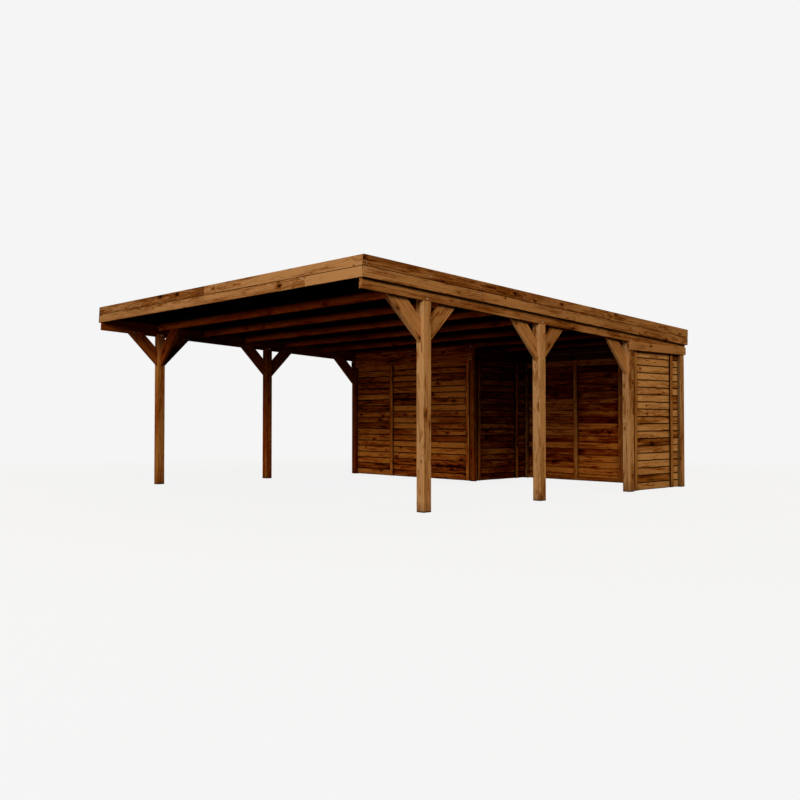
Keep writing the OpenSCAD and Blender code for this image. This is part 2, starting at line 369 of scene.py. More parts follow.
def make_grain_group():
    """Softwood figure: growth rings cut flat, long streaks, fine fibre and knots."""
    tree, given, result = new_group("softwood_grain", {
        "Grain": VECTOR, "Tone": VALUE, "Shade_and_dirt": VALUE, "Dark": COLOUR, "Middle": COLOUR,
        "Light": COLOUR, "Knot": COLOUR, "Streaks": VALUE, "Rings": VALUE, "Knots": VALUE,
    }, {"Color": COLOUR, "Height": VALUE, "Roughness": VALUE})
    core, halo, push = draw_knots(tree, given["Grain"])
    late_wood = draw_late_wood(tree, given["Grain"], push)
    fibre, streak, patch, line, blotch, fleck = (
        stretched(tree, given["Grain"], *size) for size in (FIBRE, STREAK, PATCH, LINE, BLOTCH, FLECK))

    # Streaks and patches lighten the wood, and blotches, lines and flecks darken it
    figure = ramp(tree, streak, *STREAK_RANGE)
    figure = maths(tree, "MULTIPLY_ADD", ramp(tree, patch, *STREAK_RANGE), PATCH_SHARE, figure)
    figure = maths(tree, "SUBTRACT", figure, FIGURE_MIDDLE)
    figure = maths(tree, "SUBTRACT", figure, ramp(tree, blotch, *BLOTCH_RANGE))
    figure = maths(tree, "MULTIPLY_ADD", ramp(tree, line, *LINE_RANGE), -LINE_SHARE, figure)
    fleck = maths(tree, "MULTIPLY", ramp(tree, fleck, *FLECK_RANGE), ramp(tree, patch, *FLECK_PATCH_RANGE))
    figure = maths(tree, "MULTIPLY_ADD", fleck, -FLECK_SHARE, figure)
    shade = maths(tree, "MULTIPLY_ADD", figure, given["Streaks"], given["Tone"])
    shade = maths(tree, "SUBTRACT", shade, maths(tree, "MULTIPLY", late_wood, given["Rings"]))
    shade = maths(tree, "MULTIPLY_ADD", fibre, FIBRE_SHARE, shade)
    halo = maths(tree, "MULTIPLY", halo, given["Knots"])
    shade = maths(tree, "MULTIPLY_ADD", halo, -HALO_SHARE, shade)

    lower = ramp(tree, shade, 0.0, MIDDLE_TONE, smooth=False)
    upper = ramp(tree, shade, MIDDLE_TONE, 1.0, smooth=False)
    colour = blend(tree, lower, given["Dark"], given["Middle"])
    colour = blend(tree, upper, colour, given["Light"])
    colour = blend(tree, maths(tree, "MULTIPLY", core, given["Knots"]), colour, given["Knot"])
    # Painted shade and dirt: the near-black colour is laid over the wood where the attribute asks for it
    colour = blend(tree, given["Shade_and_dirt"], colour, stain(*SHADE_AND_DIRT_COLOUR))
    height = maths(tree, "MULTIPLY", late_wood, RING_RELIEF)
    height = maths(tree, "MULTIPLY_ADD", fibre, FIBRE_RELIEF, height)
    height = maths(tree, "MULTIPLY_ADD", core, KNOT_RELIEF, height)
    roughness = maths(tree, "MULTIPLY_ADD", fibre, *TIMBER_ROUGHNESS)
    feed(tree, result, {"Color": colour, "Height": height, "Roughness": roughness})
    return tree


def make_damp_group():
    """Damp darkens timber towards the ground, with a ragged upper edge. The foot is darkened fully, fading
    out a little higher.
    """
    tree, given, result = new_group(
        "ground_damp", {"Color": COLOUR, "Reach": VALUE, "Strength": VALUE}, {"Color": COLOUR})
    place = position(tree)
    height = new_node(tree, "ShaderNodeSeparateXYZ", {0: place}).outputs[2]
    level = maths(tree, "ADD", maths(tree, "DIVIDE", height, given["Reach"]), cloud(tree, place, *DAMP_NOISE))
    darkening = maths(tree, "MULTIPLY", ramp(tree, level, *DAMP_RANGE), given["Strength"])
    darkening = maths(tree, "MAXIMUM", darkening, ramp(tree, height, *FOOT_EDGE))
    feed(tree, result, {"Color": blend(tree, darkening, given["Color"], stain(*DAMP_STAIN))})
    return tree


GRAIN = make_grain_group()
DAMP = make_damp_group()


def make_sawn_timber(name, dark, middle, light, streaks, rings, knots, damp):
    """Brown stained softwood. Each board's tone, painted shade and dirt, and grain come from its own mesh."""
    material, tree, surface = new_material(f"{name}_timber")
    grain, tone, shade_and_dirt = (new_node(tree, "ShaderNodeAttribute", attribute_name=own).outputs
                         for own in ("grain", "tone", "shade_and_dirt"))
    figure = new_node(tree, "ShaderNodeGroup", {
        "Grain": grain["Vector"], "Tone": tone["Fac"], "Shade_and_dirt": shade_and_dirt["Fac"], "Dark": stain(*dark),
        "Middle": stain(*middle), "Light": stain(*light), "Knot": stain(*KNOT_STAIN),
        "Streaks": streaks, "Rings": rings, "Knots": knots,
    }, node_tree=GRAIN).outputs
    colour = figure["Color"]
    if damp:
        foot = {"Color": colour, "Reach": DAMP_REACH, "Strength": damp}
        colour = new_node(tree, "ShaderNodeGroup", foot, node_tree=DAMP).outputs["Color"]
    feed(tree, surface, {
        "Base Color": colour, "Roughness": figure["Roughness"], "Specular IOR Level": TIMBER_SHINE,
        "Normal": relief(tree, figure["Height"], RELIEF_STRENGTH, RELIEF_DEPTH)})
    return material


# Timbers: dark, middle and light stain, then streaks, rings, knots and damp
TIMBER_LOOKS = {
    "post": ((74, 28, 3), (148, 92, 40), (206, 158, 106), 0.38, 0.36, 0.6, 0.4),
    # A darker, redder copy of the post timber, for posts, stiles and inner posts in shade: painted shade
    "shade_painted_post": ((106, 20, 0), (150, 76, 20), (200, 138, 70), 0.28, 0.30, 0.3, 0.4),
    "beam": ((60, 20, 2), (142, 85, 34), (196, 144, 90), 0.40, 0.34, 0.8, 0.0),
    # A darker, redder copy of the beam timber, for the left beam and braces in shade: painted shade
    "shade_painted_beam": ((76, 13, 0), (140, 64, 14), (180, 106, 40), 0.30, 0.26, 0.7, 0.0),
    "rafter": ((92, 24, 3), (174, 78, 17), (214, 124, 48), 0.30, 0.20, 0.5, 0.0),
    # Near-black roof boards, for the shaded underside of the roof: painted shade
    "roof_board": ((10, 3, 1), (20, 7, 2), (34, 14, 4), 0.30, 0.20, 0.3, 0.0),
    "fascia": ((74, 29, 4), (138, 82, 32), (198, 147, 93), 0.35, 0.34, 1.0, 0.0),
    "wall_board": ((76, 28, 3), (164, 104, 43), (224, 172, 114), 0.38, 0.36, 1.0, 0.3),
    # Darker, redder copies of the wall boards, for boards under the roof and deeper in the nook: painted
    # shade
    "shade_painted_board": ((58, 9, 1), (170, 80, 19), (228, 142, 58), 0.42, 0.40, 1.0, 0.3),
    "deep_shade_painted_board": ((60, 2, 0), (130, 46, 5), (202, 122, 48), 0.44, 0.42, 1.0, 0.3),
    "batten": ((84, 38, 7), (154, 94, 38), (198, 144, 84), 0.26, 0.26, 0.7, 0.4),
}
TIMBERS = {name: make_sawn_timber(name, *look) for name, look in TIMBER_LOOKS.items()}


# Steel and felt, each roughness as spread and least

STEEL_NOISE = (400.0, 2.0)
STEEL_ROUGHNESS = (0.3, 0.25)
STEEL_METALLIC = 0.8
GRANULE_SCALE = 260.0
GRANULE_STAINS = ((44, 46, 48), (92, 94, 95))
GRANULE_RELIEF = 0.5
GRANULE_DEPTH = 0.001
RAIN_SCALE = (2.2, 0.5, 1.0)
RAIN_NOISE = (1.0, 4.0, 0.6)
RAIN_RANGE = (0.42, 0.72)
RAIN_STAIN = (86, 87, 87)
FELT_ROUGHNESS = (0.1, 0.88)
FELT_SHINE = 0.12


def make_steel(name, dull, bright):
    """Plated or weathered steel of screws, bolts and nails, a little blotchy."""
    material, tree, surface = new_material(name)
    blotch = cloud(tree, position(tree), *STEEL_NOISE)
    feed(tree, surface, {
        "Base Color": blend(tree, blotch, stain(*dull), stain(*bright)),
        "Roughness": maths(tree, "MULTIPLY_ADD", blotch, *STEEL_ROUGHNESS), "Metallic": STEEL_METALLIC})
    return material


def make_felt():
    """Mineral roofing felt: charcoal granules with faint rain marks."""
    material, tree, surface = new_material("mineral_felt")
    place = position(tree)
    granules = new_node(tree, "ShaderNodeTexVoronoi", {"Vector": place, "Scale": GRANULE_SCALE}).outputs
    grit = new_node(tree, "ShaderNodeSeparateColor", {0: granules["Color"]}).outputs
    marks = cloud(tree, vectors(tree, "MULTIPLY", place, RAIN_SCALE), *RAIN_NOISE)
    colour = blend(tree, grit[0], *(stain(*granule) for granule in GRANULE_STAINS))
    feed(tree, surface, {
        "Base Color": blend(tree, ramp(tree, marks, *RAIN_RANGE), colour, stain(*RAIN_STAIN)),
        "Roughness": maths(tree, "MULTIPLY_ADD", grit[1], *FELT_ROUGHNESS), "Specular IOR Level": FELT_SHINE,
        "Normal": relief(tree, granules["Distance"], GRANULE_RELIEF, GRANULE_DEPTH)})
    return material


ZINC = make_steel("zinc_plated_steel", (138, 136, 130), (198, 196, 190))
OLD_STEEL = make_steel("weathered_steel", (52, 34, 20), (112, 88, 66))
FELT = make_felt()


# Timber meshes

# Where boards are cut from the trunk: runs along it, and how far from its heart
TRUNK_RUNS = 60.0
PITH_REACH = 0.055
PITH_LEAST, PITH_MOST = 0.3 * PITH_REACH, 1.6 * PITH_REACH
INWARD_SHARE = 0.3


def pith_offset():
    """Where a board was cut from the trunk: a run along it and the place of its heart."""
    side = dice.choice((-1.0, 1.0))
    return Vector((dice.uniform(0.0, TRUNK_RUNS), dice.uniform(-PITH_REACH, PITH_REACH),
                   side * dice.uniform(PITH_LEAST, PITH_MOST)))


def near(tone, spread):
    """A tone that strays from its middle by up to the spread."""
    return tone + dice.uniform(-spread, spread)


def finish_piece(name, mesh, material, nodes):
    """Links a mesh as a piece of the object, riding on the one body."""
    mesh.materials.append(material)
    piece = new_object(name, mesh)
    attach(piece, "root")
    if nodes:
        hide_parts(*nodes)


def slab(width, thickness, arris=ARRIS):
    """Outline of a planed board with broken edges, about its own middle, with no painted shade and no dirt.
    """
    w, t = width / 2, thickness / 2
    return [(-w + arris, -t, 0.0), (w - arris, -t, 0.0), (w, -t + arris, 0.0), (w, t - arris, 0.0),
            (w - arris, t, 0.0), (-w + arris, t, 0.0), (-w, t - arris, 0.0), (-w, -t + arris, 0.0)]


class Boards:
    """Boards gathered into one mesh, each with its own grain, offset and tone."""

    def __init__(self):
        self.points = []
        self.faces = []
        self.grains = []
        self.tones = []
        self.shade_and_dirt_values = []

    def add(self, middle, axes, length, outline, tone=MIDDLE_TONE, stations=None, seams=None):
        """A board about its middle, its length along axes[0].

        The outline's points are across, through, and painted shade and dirt. Stations are runs along the
        board with their painted shade and dirt. Seams are the seeds of its two long edges, where these wave.
        """
        along, across, through = axes
        stations = stations or [(-length / 2 + ARRIS, 0.0), (length / 2 - ARRIS, 0.0)]
        ends = [(-length / 2, ARRIS, stations[0][1]), (length / 2, ARRIS, stations[-1][1])]
        rows = [ends[0], *((run, 0.0, shade_and_dirt) for run, shade_and_dirt in stations), ends[1]]
        pith = pith_offset()
        first = len(self.points)
        count = len(outline)
        for run, shrink, end_shade_and_dirt in rows:
            for a, t, shade_and_dirt in outline:
                bend = 0.0
                if seams and t <= 0.0:
                    seed = seams[0 if a < 0.0 else 1]
                    bend = EDGE_WAVE * noise.noise(Vector((run * WAVE_RATE, seed, 0.0)))
                a_now = a - math.copysign(min(shrink, abs(a)), a) + bend
                t_now = t - math.copysign(min(shrink, abs(t)), t)
                self.points.append(middle + along * run + across * a_now + through * t_now)
                self.grains.append(Vector((run, a_now, t_now)) + pith)
                self.tones.append(tone)
                self.shade_and_dirt_values.append(max(shade_and_dirt, end_shade_and_dirt))
        for row in range(len(rows) - 1):
            for i in range(count):
                j = (i + 1) % count
                low, high = first + row * count, first + (row + 1) * count
                self.faces.append((low + i, low + j, high + j, high + i))
        self.faces.append(tuple(first + i for i in reversed(range(count))))
        self.faces.append(tuple(first + (len(rows) - 1) * count + i for i in range(count)))

    def build(self, name, material, nodes=(), inward=None, inner=None):
        """Makes the mesh with its grain, tone, and painted shade and dirt.

        Faces that look inward take the inner material, where one is given.
        """
        mesh = bpy.data.meshes.new(name)
        mesh.from_pydata([tuple(p) for p in self.points], [], self.faces)
        grain = mesh.attributes.new("grain", "FLOAT_VECTOR", "POINT")
        grain.data.foreach_set("vector", [value for g in self.grains for value in g])
        for attribute, values in (("tone", self.tones), ("shade_and_dirt", self.shade_and_dirt_values)):
            mesh.attributes.new(attribute, "FLOAT", "POINT").data.foreach_set("value", values)
        work = bmesh.new()
        work.from_mesh(mesh)
        bmesh.ops.recalc_face_normals(work, faces=work.faces)
        work.to_mesh(mesh)
        work.free()
        finish_piece(name, mesh, material, nodes)
        if inner:
            mesh.materials.append(inner)
            for face in mesh.polygons:
                if face.normal.dot(inward) > INWARD_SHARE:
                    face.material_index = 1


def islands(work):
    """The separate solids of a mesh, as lists of vertices."""
    left = set(work.verts)
    found = []
    for start in work.verts:
        if start not in left:
            continue
        left.discard(start)
        group, queue = [], [start]
        while queue:
            vertex = queue.pop()
            group.append(vertex)
            for edge in vertex.link_edges:
                other = edge.other_vert(vertex)
                if other in left:
                    left.discard(other)
                    queue.append(other)
        found.append(group)
    return found


def dress(node, axes_of, tone, timber, arris=ARRIS, shade_and_dirt_of=None):
    """A CAD timber with broken edges, its grain laid along each of its solids.

    axes_of gives a solid's axes from its middle, and tone is a middle and a spread.
    The last argument gives the painted shade and dirt from a point and its share of the solid's height.
    """
    work = bmesh.new()
    work.from_mesh(NODES[node].data)
    bmesh.ops.remove_doubles(work, verts=work.verts, dist=WELD)
    bmesh.ops.dissolve_limit(work, angle_limit=FLAT_ANGLE, verts=work.verts, edges=work.edges)
    sharp = [edge for edge in work.edges
             if len(edge.link_faces) == 2 and edge.calc_face_angle() > SHARP_ANGLE]
    bmesh.ops.bevel(work, geom=sharp, offset=arris, segments=ARRIS_STEPS, profile=ARRIS_ROUND,
                    affect="EDGES", clamp_overlap=True)
    grain_layer = work.verts.layers.float_vector.new("grain")
    tone_layer = work.verts.layers.float.new("tone")
    shade_and_dirt_layer = work.verts.layers.float.new("shade_and_dirt")
    for group in islands(work):
        middle = middle_of(*corners([vertex.co for vertex in group]))
        axes = axes_of(middle)
        pith = pith_offset()
        shade = near(*tone)
        rises = [vertex.co.dot(OFF_ROOF) for vertex in group]
        foot, reach = min(rises), max(rises) - min(rises)
        for vertex, rise in zip(group, rises):
            from_middle = vertex.co - middle
            vertex[grain_layer] = Vector([from_middle.dot(axis) for axis in axes]) + pith
            vertex[tone_layer] = shade
            if shade_and_dirt_of:
                vertex[shade_and_dirt_layer] = shade_and_dirt_of(vertex.co, (rise - foot) / reach)
    mesh = bpy.data.meshes.new(node + "_timber")
    work.to_mesh(mesh)
    work.free()
    finish_piece(node + "_timber", mesh, TIMBERS[timber], [node])


# Frame of the carport

# The left side takes the darker, redder copies of the post and beam timbers: painted shade
POST_TIMBERS = {"left": "shade_painted_post", "right": "post"}
BEAM_TIMBERS = {"left": "shade_painted_beam", "right": "beam"}
# Tones, where a second number says how far single timbers stray from the first
# Side and row tones are painted light and shade: the left side darker than the right, the left middle and
# store posts darkest, the right middle post lightest, the inner posts dark
POST_TONES = {"left": {"front": 0.66, "middle": 0.36, "store": 0.26, "back": 0.6},
              "right": {"front": 0.81, "middle": 0.94, "store": 0.84, "back": 0.68}}
POST_SPREAD = 0.04
INNER_POST_TONE = (0.36, 0.05)
BEAM_TONES = {"left": (0.35, 0.05), "right": (0.59, 0.05)}
BRACE_TONES = {"left": (0.6, 0.08), "right": (0.83, 0.08)}
# Rafters further back are darker: painted shade
RAFTER_TONE = 0.68
RAFTER_TONE_FALL = 0.085
RAFTER_SPREAD = 0.08
# Painted shade on posts beside a wall: which face along Y, and how dark
POST_PAINTED_SHADE = {"store": (1, 1.0), "back": (-1, 0.6)}
# Painted shade of a rafter at its foot and at its head, and what each rafter adds at its right end
RAFTER_PAINTED_SHADE = (-0.36, 1.9)
RAFTER_END_PAINTED_SHADE = 0.1
BEAM_JOINT = 1.740


def face_painted_shade(node, axis, sign, shade_and_dirt):
    """Painted shade on one face of a timber, the high or the low one along an axis."""
    level = face_of(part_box(node), axis, sign)
    return lambda point, rise: shade_and_dirt if abs(point[axis] - level) < WELD else 0.0


def make_posts():
    """Square posts with a tongue behind the beam, and the two inner posts."""
    upright = (UP, EAST, NORTH)
    for row in ROWS:
        for side, _ in SIDES:
            post = f"post_{row}_{side}"
            timber = "post" if row == "back" else POST_TIMBERS[side]
            # Posts beside a wall get painted shade on the face towards the wall
            shade_and_dirt_of = face_painted_shade(post, 1, *POST_PAINTED_SHADE[row]) if row in POST_PAINTED_SHADE else None
            dress(post, lambda middle: upright, (POST_TONES[side][row], POST_SPREAD), timber,
                  POST_ARRIS, shade_and_dirt_of)
    for row, timber in (("store", "shade_painted_post"), ("back", "post")):
        dress(f"post_{row}_inner", lambda middle: upright, INNER_POST_TONE, timber, POST_ARRIS)


def make_beams():
    """Each side beam is two timbers that meet between two posts."""
    for side, _ in SIDES:
        low, high = roof_box(f"beam_{side}")
        boards = Boards()
        for start, end in lengths(low.y, high.y, [SEAT_ALONG + BEAM_JOINT]):
            middle = ROOF_TURN @ middle_of(low, high, y=(start + end) / 2)
            boards.add(middle, (ALONG_ROOF, OFF_ROOF, ACROSS_ROOF), end - start,
                       slab(high.z - low.z, high.x - low.x), near(*BEAM_TONES[side]))
        boards.build(f"beam_{side}_timber", TIMBERS[BEAM_TIMBERS[side]], [f"beam_{side}"])


def rafter_painted_shade(number):
    """Painted shade of a rafter: none near its foot, and full from over its middle to its head.

    The further back a rafter lies, the more painted shade its right end has.
    """
    low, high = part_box("rafter_1")
    foot, head = RAFTER_PAINTED_SHADE

    def shade_and_dirt(point, rise):
        run = (point.x - low.x) / (high.x - low.x)
        return foot + (head - foot) * rise + RAFTER_END_PAINTED_SHADE * number * run

    return shade_and_dirt


def make_rafters():
    """Notched rafters and the two trimmers that close the roof frame, with painted shade that darkens them to
    the back.
    """
    for number, name in enumerate(ROOF_TIMBERS):
        tone = (RAFTER_TONE - RAFTER_TONE_FALL * number, RAFTER_SPREAD)
        dress(name, lambda middle: (ACROSS_ROOF, OFF_ROOF, ALONG_ROOF), tone, "rafter",
              shade_and_dirt_of=rafter_painted_shade(number))


def brace_axes(post):
    """The way a brace rakes from its post, seen from the place of the brace."""
    centre = middle_of(*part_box(post))

    def axes(middle):
        lean = middle - centre
        way, through = (EAST, NORTH) if abs(lean.x) > abs(lean.y) else (NORTH, EAST)
        rake = (way * math.copysign(1.0, lean.dot(way)) + UP).normalized()
        return rake, rake.cross(through), through

    return axes


def make_braces():
    """Raking braces between posts, beams and the first rafter."""
    for side, _ in SIDES:
        for name, row in BRACES:
            dress(f"{name}_{side}", brace_axes(f"post_{row}_{side}"), BRACE_TONES[side],
                  BEAM_TIMBERS[side], POST_ARRIS)


# Fascia and headers

FASCIA_INSET = 0.0014
FRONT_UPPER_JOINT = -0.045
FRONT_LOWER_JOINT = 2.156
SIDE_MIDDLE_JOINT = 1.809
SIDE_BACK_JOINT = 4.454
HEADER_JOINT = -1.499
SEAM_RISE = 0.240
BOARD_SEAM = 0.004
HEADER_SEAM = 0.003
LIP_H = 0.010
LIP_T = 0.008
LIP_PLAY = 0.001
# Tones of the fascia boards: lower boards first, each row from its low end
FRONT_TONES = (0.78, 1.0, 0.46, 0.88)
SIDE_TONES = (0.84, 0.74, 0.48, 0.64, 0.82)
BACK_TONES = (0.74, 0.62, 0.70, 0.56)
# Tones of the headers, each with how far it strays
HEADER_TONE = (1.0, 0.1)
# The headers under the roof are darker: painted shade
STORE_HEADER_TONE = (0.42, 0.12)
INNER_HEADER_TONE = (0.15, 0.05)
# How dark the painted shade is on the inner face of the outer headers
HEADER_BACK_PAINTED_SHADE = 0.93


def lower_board(height, thickness):
    """Section of a rebated board with a lip that rises behind the next board up."""
    h, t = height / 2, thickness / 2
    lip_top = h + BOARD_SEAM + LIP_H
    # The third numbers are painted shade and dirt: full at the seam edge and on the lip, fading to half over
    # the back
    return [(-h + ARRIS, -t, 0.0), (h - ARRIS, -t, 0.0), (h, -t + ARRIS, 1.0), (h, t - LIP_T, 1.0),
            (lip_top, t - LIP_T, 1.0), (lip_top, t, 1.0), (-h, t, LIP_SHADE_AND_DIRT), (-h, -t + ARRIS, 0.0)]


def upper_board(height, thickness):
    """Section of a rebated board whose lower back edge takes the lip."""
    h, t = height / 2, thickness / 2
    rebate_top, rebate_back = -h + LIP_H + LIP_PLAY, t - LIP_T - LIP_PLAY
    # The third numbers are painted shade and dirt: full in the rebate and on the lower edge at the seam, half
    # where the back meets the rebate
    return [(-h + ARRIS, -t, 0.0), (h - ARRIS, -t, 0.0), (h, -t + ARRIS, 0.0), (h, t, 0.0),
            (rebate_top, t, LIP_SHADE_AND_DIRT), (rebate_top, rebate_back, 1.0), (-h, rebate_back, 1.0),
            (-h, -t + ARRIS, 1.0)]


def board_pair(bottom, top, seam, gap):
    """Foot, head and section of the lower and the upper board of a pair."""
    return (bottom, seam - gap / 2, lower_board), (seam + gap / 2, top, upper_board)


def fascia_run(node, axis, inward, joints, tones):
    """Boards of one fascia along a roof axis, with the joints of its lower and upper boards."""
    low, high = roof_box(node)
    boards = Boards()
    thickness = high[1 - axis] - low[1 - axis] - FASCIA_INSET
    axes = ((ACROSS_ROOF, ALONG_ROOF)[axis], OFF_ROOF, inward)
    tones = iter(tones)
    rows = board_pair(low.z, high.z, SEAT_LEVEL + SEAM_RISE, BOARD_SEAM)
    for (bottom, top, section), row_joints in zip(rows, joints):
        for start, end in lengths(low[axis] + JOINT_GAP, high[axis] - JOINT_GAP, row_joints):
            middle = middle_of(low, high, z=(bottom + top) / 2)
            middle[axis] = (start + end) / 2
            boards.add(ROOF_TURN @ middle, axes, end - start, section(top - bottom, thickness), next(tones))
    boards.build(f"{node}_boards", TIMBERS["fascia"], [node])


def make_fascia():
    """The four fascias of the roof: two boards high, in lengths that meet over a rafter."""
    for name, inward, lower, tones in (("fascia_front", ALONG_ROOF, FRONT_LOWER_JOINT, FRONT_TONES),
                                       ("fascia_back", -ALONG_ROOF, -FRONT_LOWER_JOINT, BACK_TONES)):
        fascia_run(name, 0, inward, ([lower], [FRONT_UPPER_JOINT]), tones)
    joints = [SEAT_ALONG + SIDE_MIDDLE_JOINT, SEAT_ALONG + SIDE_BACK_JOINT]
    for side, sign in SIDES:
        fascia_run(f"fascia_{side}", 1, -sign * ACROSS_ROOF, (joints[1:], joints), SIDE_TONES)


def make_store_header():
    """The header over the store's front: two boards high, in two lengths."""
    low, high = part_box("header_store_front")
    boards = Boards()
    for bottom, top, section in board_pair(low.z, high.z, (low.z + high.z) / 2, HEADER_SEAM):
        for start, end in lengths(low.x, high.x, [HEADER_JOINT]):
            middle = middle_of(low, high, x=(start + end) / 2, z=(bottom + top) / 2)
            boards.add(middle, (EAST, UP, NORTH), end - start, section(top - bottom, high.y - low.y),
                       near(*STORE_HEADER_TONE))
    boards.build("header_store_front_boards", TIMBERS["shade_painted_board"], ["header_store_front"])


def make_headers():
    """Level header boards over the walls, with painted shade on the inner face of the outer ones."""
    make_store_header()
    dress("header_store_inner", lambda middle: (NORTH, UP, EAST), INNER_HEADER_TONE, "deep_shade_painted_board")
    for name, along, axis, inner in (("header_back", EAST, 1, -1), ("header_left", NORTH, 0, 1),
                                     ("header_right", NORTH, 0, -1)):
        axes = (along, UP, along.cross(UP))
        dress(name, lambda middle: axes, HEADER_TONE, "fascia",
              shade_and_dirt_of=face_painted_shade(name, axis, inner, HEADER_BACK_PAINTED_SHADE))


# Boarded walls

BATTEN_TONE = (0.73, 0.11)
STILE_TONE = (0.6, 0.1)
WALL_TONE_SPREAD = 0.26
WALL_TONE_LIMITS = (0.1, 1.1)
NAIL_SPREAD = 0.018
# Battens: margin before the first one, and pitch
FRONT_BATTENS = (0.020, 0.968)
SIDE_BATTENS = (0.049, 1.022)
BACK_BATTENS = (0.060, 0.905)
# Timbers of the boards, the battens and the boards' inner faces
# Walls under the roof and in the nook, and the inner faces of the walls in the open, take darker, redder
# copies of the wall boards: painted shade
OPEN_AIR = ("wall_board", "batten", "deep_shade_painted_board")
UNDER_ROOF = ("shade_painted_board", "shade_painted_board", None)
IN_NOOK = ("deep_shade_painted_board", "deep_shade_painted_board", None)
# Walls: the ways they run and look, battens, timbers, tone and how much painted shade darkens it towards the
# roof
WALLS = {
    "store_front": (-EAST, -NORTH, FRONT_BATTENS, UNDER_ROOF, 0.66, 0.0),
    "store_inner": (NORTH, EAST, SIDE_BATTENS, IN_NOOK, 0.5, 0.0),
    "store_left": (NORTH, -EAST, SIDE_BATTENS, OPEN_AIR, 0.66, 0.0),
    "nook_right": (NORTH, EAST, SIDE_BATTENS, OPEN_AIR, 0.79, 0.0),
    "nook_back": (-EAST, NORTH, BACK_BATTENS, OPEN_AIR, 0.57, 0.34),
    "store_back": (EAST, NORTH, BACK_BATTENS, OPEN_AIR, 0.66, 0.2),
}


class Wall:
    """Where a wall stands, which way it runs and looks, its battens and its courses."""

    def __init__(self, node, run, out, margin, pitch):
        low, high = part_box(node)
        self.node = node
        self.run = run
        self.out = out
        self.start = Vector([(high if out[i] > 0.0 or run[i] < 0.0 else low)[i] for i in range(3)])
        self.length = abs((high - low).dot(run))
        self.height = high.z - low.z
        self.courses = round(self.height / COURSE_H)
        self.course = self.height / self.courses
        self.flat = (run, UP, -out)
        self.upright = (UP, run, -out)
        self.battens = []
        place = margin + BATTEN_W / 2
        while place <= self.length - BATTEN_W / 2:
            self.battens.append(place)
            place += pitch

    def place(self, run, rise, depth=0.0):
        """World place of a point along the wall, over its foot and behind its outer face."""
        return self.start + self.run * run + UP * rise - self.out * depth


def course_outline(height):
    """Section of a wall board: broken edges in front and behind, and a tongue between."""
    h, t = height / 2, BOARD_T / 2
    face = h - BOARD_GAP
    slope = BOARD_CHAMFER
    clean = face - slope - SEAM_SHADE
    back, back_clean = h - BACK_CHAMFER, h - BACK_CHAMFER - SEAM_SHADE
    # The third numbers are painted shade and dirt: full on the tongue between boards, strong in the seams,
    # none in the middle of each face
    return [(-face + slope, -t, SEAM_SHADE_AND_DIRT), (-clean, -t, 0.0), (clean, -t, 0.0),
            (face - slope, -t, SEAM_SHADE_AND_DIRT), (face, -t + slope, 1.0), (face, 0.0, 1.0), (h, 0.0, 1.0),
            (h, t - BACK_CHAMFER, 1.0), (back, t, SEAM_SHADE_AND_DIRT), (back_clean, t, 0.0),
            (-back_clean, t, 0.0), (-back, t, SEAM_SHADE_AND_DIRT), (-h, t - BACK_CHAMFER, 1.0),
            (-h, 0.0, 1.0), (-face, 0.0, 1.0), (-face, -t + slope, 1.0)]


def batten_outline():
    """Section of a batten: clean in front, its flanks painted black as shade."""
    w, t = BATTEN_W / 2, BATTEN_T / 2
    return [(-w + ARRIS, -t, 0.0), (w - ARRIS, -t, 0.0), (w, -t + ARRIS, 1.0), (w, t, 1.0), (-w, t, 1.0),
            (-w, -t + ARRIS, 1.0)]


def board_tone(middle):
    """Wall boards range from nearly black brown to light, about the wall's own tone."""
    least, most = WALL_TONE_LIMITS
    return min(most, max(least, dice.gauss(middle, WALL_TONE_SPREAD)))


def edge_shade_and_dirt(away, reach):
    """Painted shade and dirt at a distance from an edge: they fade fast in the core, then slowly over the
    reach.
    """
    if away < SHADE_AND_DIRT_CORE:
        return 1.0 - CORE_FADE * away / SHADE_AND_DIRT_CORE
    return (1.0 - CORE_FADE) * max(0.0, 1.0 - (away - SHADE_AND_DIRT_CORE) / reach)


def board_stations(wall, first, last):
    """Runs along a wall board with their painted shade and dirt.

    Painted shade and dirt are full behind a batten and fade out over a different reach at each edge.
    """
    edges = [0.0, wall.length, *(b + side * BATTEN_W / 2 for b in wall.battens for side in (-1, 1))]
    reaches = [dice.uniform(*SHADE_AND_DIRT_REACH) for _ in edges]
    low, high = first + END_GAP + ARRIS, last - END_GAP - ARRIS
    length = last - first - 2 * END_GAP
    steps = max(1, round(length / WAVE_STEP))
    runs = {low + i * (length - 2 * ARRIS) / steps for i in range(steps + 1)}
    for edge, reach in zip(edges, reaches):
        shifts = (-reach, 0.0, reach, -SHADE_AND_DIRT_CORE, SHADE_AND_DIRT_CORE, -END_SHADE_AND_DIRT, END_SHADE_AND_DIRT)
        runs.update(edge + shift for shift in shifts)
    stations = []
    for run in sorted(run for run in runs if low <= run <= high):
        behind = any(abs(run - batten) < BATTEN_W / 2 for batten in wall.battens)
        behind = behind or run < wall.battens[0] - BATTEN_W / 2 or run > wall.length - END_SHADE_AND_DIRT
        shade_and_dirt_values = [edge_shade_and_dirt(abs(run - edge), reach) for edge, reach in zip(edges, reaches)]
        stations.append((run - (first + last) / 2, 1.0 if behind else max(shade_and_dirt_values)))
    return stations


